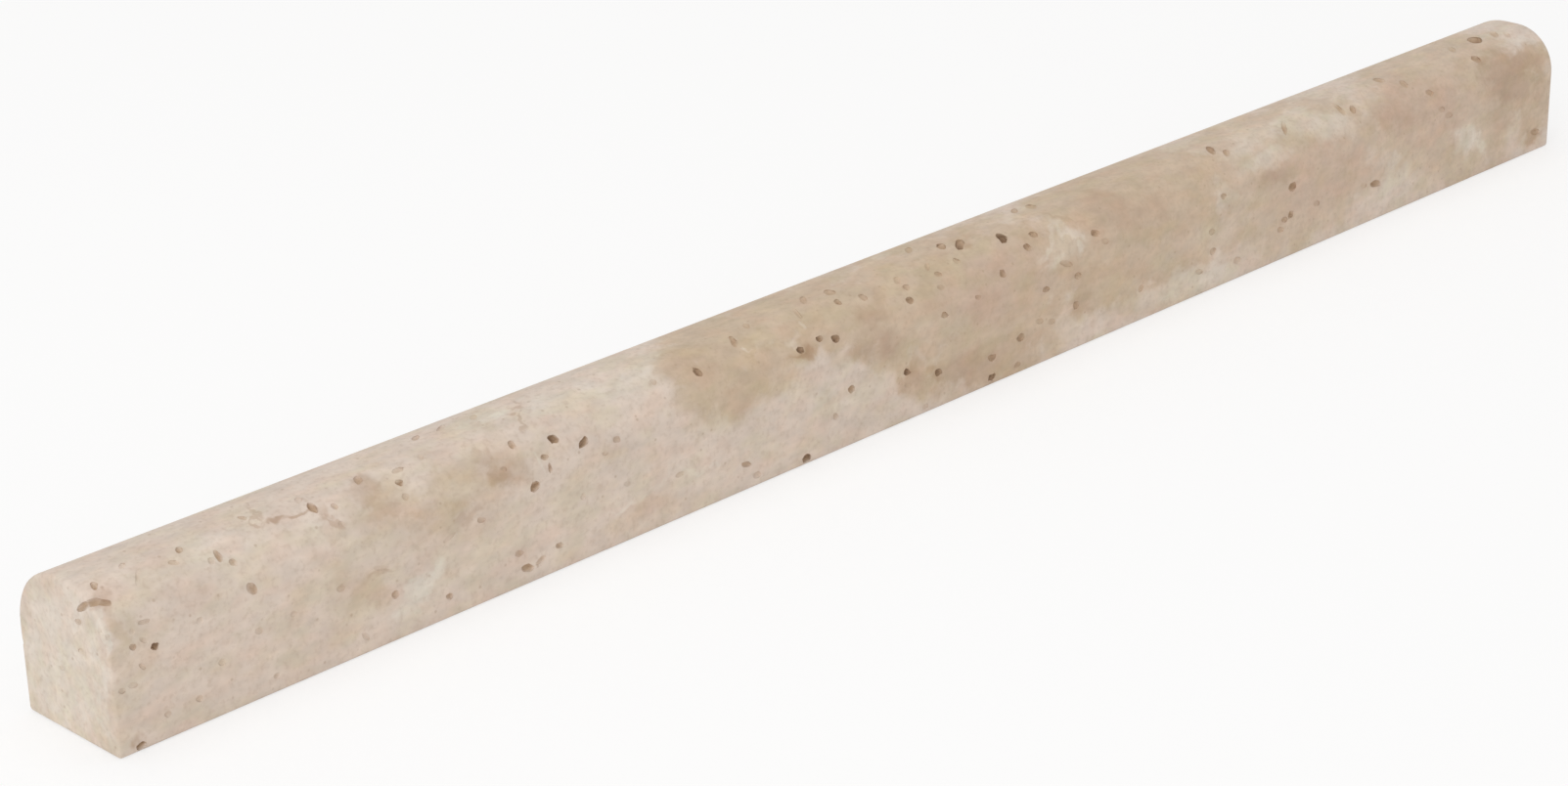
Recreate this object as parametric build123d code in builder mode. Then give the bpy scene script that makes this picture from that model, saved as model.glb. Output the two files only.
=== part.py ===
"""Travertine pencil liner: one sawn and honed bar of natural stone with a rounded crown.

The bar lies on its flat bedding face. +X runs along its length, +Y from its front
edge to its back edge and +Z up to the crown. The origin is the middle of the bedding face.
"""

import os

from build123d import *

# Driving dimensions, in millimetres
LENGTH = 305.0  # one 12 inch tile module, sawn square at both ends
WIDTH = 19.0  # across the bedding face, the 3/4 inch trim width
HEIGHT = 21.0  # bedding face to crown
FRONT_SHOULDER = 7.5  # radius between the front edge and the crown
BACK_SHOULDER = 9.0  # radius between the crown and the back edge, ground a little rounder
ARRIS = 0.4  # sawn corners rubbed down with an abrasive block

with BuildPart() as moulding:
    # Section: square foot, upright edges for the grout joints, rounded crown.
    # In the sketch's own plane, X runs from front to back and Y is the height.
    with BuildSketch(Plane.YZ.offset(-LENGTH / 2)) as section:
        Rectangle(WIDTH, HEIGHT, align=(Align.CENTER, Align.MIN))
        fillet(section.vertices().group_by(Axis.Y)[-1].sort_by(Axis.X)[0], radius=FRONT_SHOULDER)
        fillet(section.vertices().group_by(Axis.Y)[-1].sort_by(Axis.X)[-1], radius=BACK_SHOULDER)
        chamfer(section.vertices().group_by(Axis.Y)[0], length=ARRIS)
    extrude(amount=LENGTH)

    # Both sawn ends have their whole outline rubbed down
    sawn_ends = moulding.faces().filter_by(Axis.X)
    chamfer(sawn_ends.edges(), length=ARRIS)

moulding.part.label = "moulding"

os.makedirs("parts", exist_ok=True)
export_step(moulding.part, "parts/moulding.step")
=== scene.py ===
"""Honed travertine pencil liner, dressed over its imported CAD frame.

One bar of natural stone: sawn square, rounded along its crown, honed and left unfilled, so that
the stone's own open voids show on every face. It lies on its bedding face, +X along its length,
+Y from its front edge to its back edge and +Z up to the crown.

Sizes are written in millimetres, and places read off the photograph in its pixels. Meshes are in metres.
"""

import logging
import math
from dataclasses import dataclass, field
from enum import Enum

import bpy
from bpy.types import Material, Mesh, NodeSocket, NodeTree, Object, World, bpy_prop_collection
from mathutils import Matrix, Vector


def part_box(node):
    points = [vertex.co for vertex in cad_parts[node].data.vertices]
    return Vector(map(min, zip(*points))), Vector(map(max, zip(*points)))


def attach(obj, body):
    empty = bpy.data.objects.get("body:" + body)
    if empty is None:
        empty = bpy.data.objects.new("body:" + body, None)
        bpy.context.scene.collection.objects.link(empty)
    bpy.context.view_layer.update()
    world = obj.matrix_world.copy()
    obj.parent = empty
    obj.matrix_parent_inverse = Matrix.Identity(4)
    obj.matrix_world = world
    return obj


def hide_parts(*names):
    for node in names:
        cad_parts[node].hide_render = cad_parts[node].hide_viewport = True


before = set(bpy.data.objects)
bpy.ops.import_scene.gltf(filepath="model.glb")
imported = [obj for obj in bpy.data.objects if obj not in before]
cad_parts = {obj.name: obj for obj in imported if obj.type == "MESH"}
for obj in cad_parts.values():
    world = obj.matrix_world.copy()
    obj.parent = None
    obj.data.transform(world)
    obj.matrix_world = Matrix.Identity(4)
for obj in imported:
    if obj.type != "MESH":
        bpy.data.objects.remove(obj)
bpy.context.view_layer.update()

LOG = logging.getLogger("moulding")
MM = 0.001
NODE = "moulding"
DEPTH_ATTRIBUTE = "void_depth"
TURN_ATTRIBUTE = "void_turn"
REACH_ATTRIBUTE = "void_reach"
SIZE_ATTRIBUTE = "void_size"
LATE_ATTRIBUTE = "void_late"
NOISE_MIDDLE = (0.5, 0.5, 0.5)  # the middle of a noise's colours, from which a push is measured

# The points of some voids, and each one's turn and reach
VoidLot = tuple[NodeSocket, NodeSocket, NodeSocket]


def linear(hex_colour: str) -> tuple[float, float, float, float]:
    """Turn an sRGB hex colour into the linear colour that Blender's sockets take.

    Args:
        hex_colour: six hex digits, as in "DCCFC0".

    Returns:
        Linear red, green, blue and an alpha of 1.
    """
    parts = [int(hex_colour[i : i + 2], 16) / 255 for i in (0, 2, 4)]
    r, g, b = [p / 12.92 if p <= 0.04045 else ((p + 0.055) / 1.055) ** 2.4 for p in parts]
    return (r, g, b, 1.0)


def per_metre(size: float) -> float:
    """Give the texture scale whose features are about this many millimetres across."""
    return 1.0 / (size * MM)


def add_node(
    tree: NodeTree,
    kind: str,
    inputs: dict[int | str, object] | None = None,
    output: int | str = 0,
    **settings: object,
) -> NodeSocket | None:
    """Add one node to a tree, with its settings, its values and its links.

    Args:
        tree: the shader or geometry tree that takes the node.
        kind: Blender's name for the node's type.
        inputs: for each input, by name or number, a value or the socket that feeds it.
        output: the output to hand on, by name or number.
        settings: the node's own properties.

    Returns:
        That output, or None for a node that ends its tree.
    """
    node = tree.nodes.new(kind)
    for name, value in settings.items():
        setattr(node, name, value)
    for key, value in (inputs or {}).items():
        if isinstance(value, NodeSocket):
            tree.links.new(value, node.inputs[key])
        else:
            node.inputs[key].default_value = value
    return node.outputs[output] if len(node.outputs) else None


def empty_tree(owner: Material | World) -> NodeTree:
    """Give a material or a world a node tree with nothing in it.

    Args:
        owner: the material or the world.

    Returns:
        Its tree.
    """
    owner.use_nodes = True
    owner.node_tree.nodes.clear()
    return owner.node_tree


def seen_directly(tree: NodeTree) -> NodeSocket:
    """Tell the rays that show a surface from those by which it lights others.

    Args:
        tree: the tree of the floor or of the world.

    Returns:
        1 for a ray from the camera, off a gloss or through glass, and 0 for the rest.
    """
    rays = add_node(tree, "ShaderNodeLightPath").node.outputs
    seen = rays["Is Camera Ray"]
    for ray in ("Is Glossy Ray", "Is Transmission Ray"):
        seen = add_node(tree, "ShaderNodeMath", {0: seen, 1: rays[ray]}, operation="MAXIMUM")
    return seen


@dataclass(frozen=True)
class PhotoCamera:
    """The photograph's viewpoint, in the part's own frame."""

    picture_width: float = 1603.0  # px
    picture_height: float = 804.0  # px
    focal_length: float = 3495.3  # px
    sensor_width: float = 36.0
    eye: tuple[float, float, float] = (-349.42, -320.4, 195.77)
    aim: tuple[float, float, float] = (-35.77, -5.63, 10.0)
    roll: float = 1.24  # degrees that the camera leans clockwise
    nearest: float = 10.0
    furthest: float = 20000.0
    flattest: float = -0.3  # cosine of sight to normal, past which a surface counts as no flatter

    def turn(self) -> Matrix:
        """Give the camera's axes as the columns of a 3 by 3 matrix: right, up and back."""
        level = (Vector(self.aim) - Vector(self.eye)).to_track_quat("-Z", "Y").to_matrix()
        return level @ Matrix.Rotation(-math.radians(self.roll), 3, "Z")

    def sight(self, x: float, y: float) -> Vector:
        """Give the unit vector from the eye through a pixel of the photograph.

        Args:
            x: pixels from the picture's left edge.
            y: pixels from the picture's top edge.

        Returns:
            The direction in the part's frame.
        """
        across = x - self.picture_width / 2
        up = self.picture_height / 2 - y
        return (self.turn() @ Vector((across, up, -self.focal_length))).normalized()

    def find(self, x: float, y: float) -> tuple[Vector, Vector]:
        """Find the place on the CAD solid that shows at a pixel.

        Args:
            x: pixels from the picture's left edge.
            y: pixels from the picture's top edge.

        Returns:
            The point, in metres, and the outward normal there.

        Raises:
            ValueError: where the pixel shows only the background.
        """
        hit, place, normal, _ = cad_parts[NODE].ray_cast(Vector(self.eye) * MM, self.sight(x, y))
        if not hit:
            raise ValueError(f"pixel {x}, {y} is off the object")
        return place, normal

    def lay_flat(self, place: Vector, normal: Vector, lean: float, pixels: float) -> Vector:
        """Lay a short line of the picture down on the surface that it shows.

        Args:
            place: the line's middle, on the surface.
            normal: the surface's outward normal there.
            lean: degrees that the line rises above the picture's horizontal.
            pixels: the line's length in the picture.

        Returns:
            The line on the surface, in metres.
        """
        axes = self.turn()
        angle = math.radians(lean)
        sight = place - Vector(self.eye) * MM
        metres = pixels * -(axes.transposed() @ sight).z / self.focal_length
        line = axes @ Vector((math.cos(angle), math.sin(angle), 0.0))
        steepness = min(self.flattest, sight.normalized().dot(normal))
        flat = line - sight.normalized() * (line.dot(normal) / steepness)
        return flat * metres

    def lay_oval(
        self, place: Vector, normal: Vector, lean: float, long: float, wide: float
    ) -> tuple[Matrix, float, float]:
        """Lay an oval of the picture down on the surface that it shows.

        Args:
            place: the oval's middle, on the surface.
            normal: the surface's outward normal there.
            lean: degrees that the oval's length rises above the picture's horizontal.
            long: the oval's length in pixels.
            wide: the oval's breadth in pixels.

        Returns:
            The axes along its length, across it and out of the surface, as a matrix's columns, and its
            length and breadth in metres.
        """
        length = self.lay_flat(place, normal, lean, long)
        across = normal.cross(length).normalized()
        breadth = abs(self.lay_flat(place, normal, lean + 90.0, wide).dot(across))
        turn = Matrix((length.normalized(), across, normal)).transposed()
        return turn, length.length, breadth

    def build(self) -> None:
        """Make the camera and give it to the scene."""
        data = bpy.data.cameras.new("photo_camera")
        data.sensor_width = self.sensor_width
        data.lens = self.focal_length / self.picture_width * self.sensor_width
        data.clip_start = self.nearest * MM
        data.clip_end = self.furthest * MM
        camera = bpy.data.objects.new("photo_camera", data)
        camera.matrix_world = Matrix.Translation(Vector(self.eye) * MM) @ self.turn().to_4x4()
        bpy.context.scene.collection.objects.link(camera)
        bpy.context.scene.camera = camera


class Tone(Enum):
    """The stone's own colours, one for each kind of cloud in it, in the order that they cover each other."""

    TAN = "C6B19A"
    ROSE = "C6AD9A"
    OLIVE = "C3AF96"
    BROWN = "B49A84"
    IVORY = "DAD0C3"
    RUST = "A98668"


TAN, ROSE, OLIVE, BROWN, IVORY, RUST = Tone


@dataclass(frozen=True)
class Cloud:
    """One cloud of colour in the stone, as the photograph shows it. A few along the near end's front arris
    paint its highlight and its shade, the olive ones partly a real stain.
    """

    tone: Tone
    x: float
    y: float
    long: float  # px, half its length
    wide: float  # px, half its breadth
    lean: float = 21.5  # degrees that its length rises above the picture's horizontal, as the bar does
    strength: float = 1.0
    soft: float = 0.6  # how much of its half breadth its edge fades over


CLOUDS = (
    # The near quarter
    Cloud(IVORY, x=66, y=688, long=100, wide=50, lean=98, strength=0.68, soft=0.45),
    # Painted shade, partly olive stain: the olive beside the near end's front arris stands in for the shade
    # on its rounded edge
    Cloud(OLIVE, x=119, y=640, long=34, wide=15, lean=-48, strength=0.65, soft=0.6),
    Cloud(OLIVE, x=140, y=640, long=30, wide=14, lean=10, strength=0.3),
    Cloud(OLIVE, x=125, y=684, long=70, wide=15, lean=95, strength=0.3),
    # Painted highlight: these two thin pale bands along the near end's front arris stand in for the light
    # that its rounding catches
    Cloud(IVORY, x=99, y=646, long=28, wide=6, lean=-66, strength=0.8, soft=0.4),
    Cloud(IVORY, x=111, y=712, long=64, wide=5.5, lean=-85, strength=0.75),
    Cloud(TAN, x=148, y=674, long=32, wide=16, lean=60, strength=0.35),
    Cloud(IVORY, x=206, y=560, long=56, wide=22, strength=0.3),
    Cloud(BROWN, x=252, y=530, long=13, wide=3.4, lean=-12, strength=0.55),
    Cloud(BROWN, x=276, y=528, long=20, wide=4.4, lean=24, strength=0.8),
    Cloud(BROWN, x=300, y=520, long=19, wide=4.4, lean=12, strength=0.8),
    Cloud(BROWN, x=336, y=529, long=18, wide=3.4, lean=-30, strength=0.55),
    Cloud(BROWN, x=390, y=583, long=18, wide=3.4, lean=8, strength=0.4),
    Cloud(IVORY, x=317, y=545, long=26, wide=14, lean=100, strength=0.35),
    Cloud(TAN, x=388, y=509, long=62, wide=44, strength=0.85, soft=1.0),
    Cloud(BROWN, x=370, y=494, long=26, wide=12, lean=15, strength=0.4),
    Cloud(BROWN, x=404, y=508, long=22, wide=13, lean=-5, strength=0.28),
    Cloud(OLIVE, x=450, y=489, long=42, wide=16, strength=0.35, soft=0.9),
    Cloud(TAN, x=368, y=604, long=66, wide=44, lean=34, strength=0.7, soft=1.0),
    Cloud(IVORY, x=450, y=594, long=30, wide=12, lean=24),
    Cloud(IVORY, x=426, y=610, long=30, wide=12, lean=30),
    Cloud(IVORY, x=406, y=626, long=24, wide=11, lean=40, strength=0.9),
    # The second quarter
    Cloud(TAN, x=452, y=524, long=110, wide=66, soft=1.3),
    Cloud(TAN, x=512, y=484, long=62, wide=46, strength=0.85, soft=1.1),
    Cloud(BROWN, x=514, y=490, long=44, wide=22, lean=0, strength=0.5, soft=1.0),
    Cloud(RUST, x=514, y=493, long=34, wide=16, lean=0, strength=0.35, soft=1.0),
    Cloud(BROWN, x=487, y=530, long=26, wide=8, lean=28, strength=0.5),
    Cloud(BROWN, x=493, y=472, long=17, wide=12, lean=60, strength=0.4),
    Cloud(BROWN, x=530, y=425, long=17, wide=4.5, lean=12, strength=0.55),
    Cloud(BROWN, x=544, y=434, long=13, wide=4.5, lean=-50, strength=0.55),
    Cloud(IVORY, x=508, y=436, long=22, wide=9, lean=10, strength=0.85),
    Cloud(IVORY, x=480, y=437, long=30, wide=8, strength=0.5),
    Cloud(IVORY, x=585, y=404, long=64, wide=18, lean=24, strength=0.5),
    Cloud(IVORY, x=640, y=386, long=42, wide=22, lean=24, strength=0.5),
    Cloud(IVORY, x=634, y=519, long=30, wide=4, lean=18, strength=0.45),
    Cloud(IVORY, x=676, y=496, long=32, wide=4, lean=30, strength=0.45),
    Cloud(IVORY, x=718, y=479, long=30, wide=4, lean=14, strength=0.45),
    Cloud(ROSE, x=660, y=524, long=70, wide=14, strength=0.35),
    # The brown that gathers behind the middle, with a lobed edge
    Cloud(TAN, x=688, y=365, long=34, wide=20, strength=0.9, soft=0.4),
    Cloud(TAN, x=722, y=354, long=72, wide=46, soft=0.35),
    Cloud(TAN, x=738, y=384, long=68, wide=58, soft=0.45),
    Cloud(TAN, x=781, y=388, long=54, wide=42, strength=0.85, soft=0.55),
    Cloud(TAN, x=800, y=318, long=80, wide=38, soft=0.35),
    Cloud(TAN, x=850, y=308, long=80, wide=54, soft=0.35),
    Cloud(TAN, x=912, y=318, long=76, wide=56, lean=100, soft=0.3),
    Cloud(TAN, x=915, y=270, long=84, wide=34, soft=0.4),
    Cloud(TAN, x=816, y=352, long=28, wide=20, soft=0.5),
    Cloud(TAN, x=800, y=361, long=40, wide=26, soft=0.45),
    Cloud(TAN, x=936, y=390, long=34, wide=30, soft=0.5),
    Cloud(TAN, x=1010, y=312, long=124, wide=112, soft=0.3),
    Cloud(OLIVE, x=742, y=348, long=60, wide=26, strength=0.65),
    Cloud(BROWN, x=728, y=372, long=40, wide=22, strength=0.2),
    Cloud(OLIVE, x=754, y=390, long=44, wide=30, strength=0.5),
    Cloud(IVORY, x=856, y=406, long=62, wide=17, strength=0.22, soft=0.8),
    Cloud(BROWN, x=894, y=318, long=34, wide=20, lean=60, strength=0.6, soft=0.9),
    Cloud(BROWN, x=898, y=350, long=32, wide=24, lean=0, strength=0.7, soft=0.9),
    Cloud(BROWN, x=1000, y=376, long=72, wide=30, strength=0.6, soft=0.8),
    Cloud(BROWN, x=934, y=388, long=28, wide=20, strength=0.6, soft=0.9),
    Cloud(BROWN, x=1040, y=352, long=40, wide=24, strength=0.35, soft=0.9),
    Cloud(ROSE, x=1018, y=288, long=84, wide=44, strength=0.7),
    Cloud(IVORY, x=964, y=331, long=36, wide=18, strength=0.14),
    # The far third, brown with pale streaks
    Cloud(TAN, x=1160, y=222, long=160, wide=112, soft=0.3),
    Cloud(TAN, x=1325, y=170, long=160, wide=100, strength=0.78, soft=0.3),
    Cloud(TAN, x=1480, y=100, long=130, wide=108, strength=0.82, soft=0.3),
    Cloud(TAN, x=1562, y=92, long=62, wide=34, lean=90, soft=0.4),
    Cloud(BROWN, x=1137, y=216, long=66, wide=36, lean=10, strength=0.5, soft=0.9),
    Cloud(BROWN, x=1168, y=213, long=38, wide=28, strength=0.4, soft=0.9),
    Cloud(BROWN, x=1107, y=296, long=36, wide=20, lean=100, strength=0.55, soft=0.8),
    Cloud(IVORY, x=1084, y=254, long=36, wide=22, lean=10, strength=0.25),
    Cloud(IVORY, x=1062, y=252, long=24, wide=6, lean=44, strength=0.45),
    Cloud(IVORY, x=1092, y=242, long=28, wide=8, lean=-14, strength=0.65),
    Cloud(IVORY, x=1108, y=255, long=14, wide=6, lean=-60, strength=0.5),
    Cloud(IVORY, x=1076, y=264, long=26, wide=6, lean=22, strength=0.45),
    Cloud(BROWN, x=1088, y=230, long=32, wide=4.5, lean=-4, strength=0.5),
    Cloud(OLIVE, x=925, y=274, long=38, wide=18, strength=0.55),
    Cloud(OLIVE, x=1048, y=292, long=20, wide=15, strength=0.5),
    Cloud(OLIVE, x=1150, y=200, long=60, wide=26, strength=0.35),
    Cloud(OLIVE, x=1224, y=188, long=40, wide=22, strength=0.35),
    Cloud(IVORY, x=1253, y=202, long=22, wide=12, strength=0.2),
    Cloud(IVORY, x=1222, y=245, long=76, wide=20, strength=0.22, soft=0.9),
    Cloud(IVORY, x=1217, y=290, long=90, wide=16, lean=23, strength=0.5),
    Cloud(IVORY, x=1292, y=166, long=32, wide=14, strength=0.5, soft=0.8),
    Cloud(IVORY, x=1352, y=130, long=48, wide=21, lean=-14, strength=0.48, soft=0.7),
    Cloud(IVORY, x=1326, y=120, long=30, wide=19, strength=0.55, soft=0.8),
    Cloud(IVORY, x=1284, y=142, long=46, wide=22, strength=0.5, soft=0.8),
    Cloud(OLIVE, x=1324, y=152, long=17, wide=13, lean=90, strength=0.4),
    Cloud(BROWN, x=1302, y=188, long=29, wide=13, strength=0.5),
    Cloud(ROSE, x=1350, y=182, long=84, wide=44, strength=0.65),
    Cloud(ROSE, x=1452, y=110, long=80, wide=54, strength=0.7),
    Cloud(BROWN, x=1440, y=110, long=66, wide=34, strength=0.3, soft=0.9),
    Cloud(IVORY, x=1428, y=168, long=20, wide=6, strength=0.35),
    Cloud(IVORY, x=1442, y=186, long=66, wide=15, strength=0.4, soft=0.8),
    Cloud(IVORY, x=1501, y=142, long=28, wide=18, lean=100, strength=0.8, soft=0.9),
    Cloud(BROWN, x=1544, y=78, long=48, wide=42, lean=-30, strength=0.85),
    Cloud(BROWN, x=1534, y=121, long=26, wide=24, strength=0.45, soft=0.8),
    Cloud(IVORY, x=1548, y=34, long=34, wide=9, lean=-20, strength=0.4),
    # Pale flecks and rusty halos beside voids
    Cloud(IVORY, x=756, y=353, long=7, wide=3.5, lean=-50, strength=0.45),
    Cloud(IVORY, x=559, y=472, long=8, wide=3.5, lean=-65, strength=0.7),
    Cloud(IVORY, x=821, y=325, long=7, wide=3.5, lean=-40, strength=0.4),
    Cloud(RUST, x=150, y=757, long=12, wide=8, lean=35, strength=0.5, soft=0.9),
    Cloud(RUST, x=819, y=358, long=14, wide=10, strength=0.8, soft=0.9),
    Cloud(RUST, x=981, y=250, long=14, wide=10, strength=0.45, soft=0.9),
    Cloud(RUST, x=928, y=382, long=12, wide=10, strength=0.4, soft=0.9),
    Cloud(RUST, x=960, y=382, long=12, wide=9, strength=0.4, soft=0.9),
    Cloud(RUST, x=97, y=617, long=22, wide=8, lean=8, strength=0.35, soft=0.9),
    Cloud(RUST, x=322, y=520, long=14, wide=9, lean=-45, strength=0.35, soft=0.9),
    Cloud(RUST, x=1510, y=61, long=11, wide=9, strength=0.4, soft=0.9),
    Cloud(RUST, x=1570, y=135, long=13, wide=9, strength=0.45, soft=0.9),
)


class VoidForm(Enum):
    """How a void opens at the honed face. Each value is its depth over the width of its mouth."""

    DEEP = 0.54
    OPEN = 0.31
    SHALLOW = 0.205
    DIMPLE = 0.14


DEEP, OPEN, SHALLOW, DIMPLE = VoidForm


@dataclass(frozen=True)
class Void:
    """One open void, as the photograph shows its mouth."""

    form: VoidForm
    x: float
    y: float
    long: float = 7.0  # px
    wide: float = 7.0  # px
    lean: float = 0.0  # degrees that the long way rises above the picture's horizontal
    late: bool = False  # cut after the others, as it runs into one of them


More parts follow.
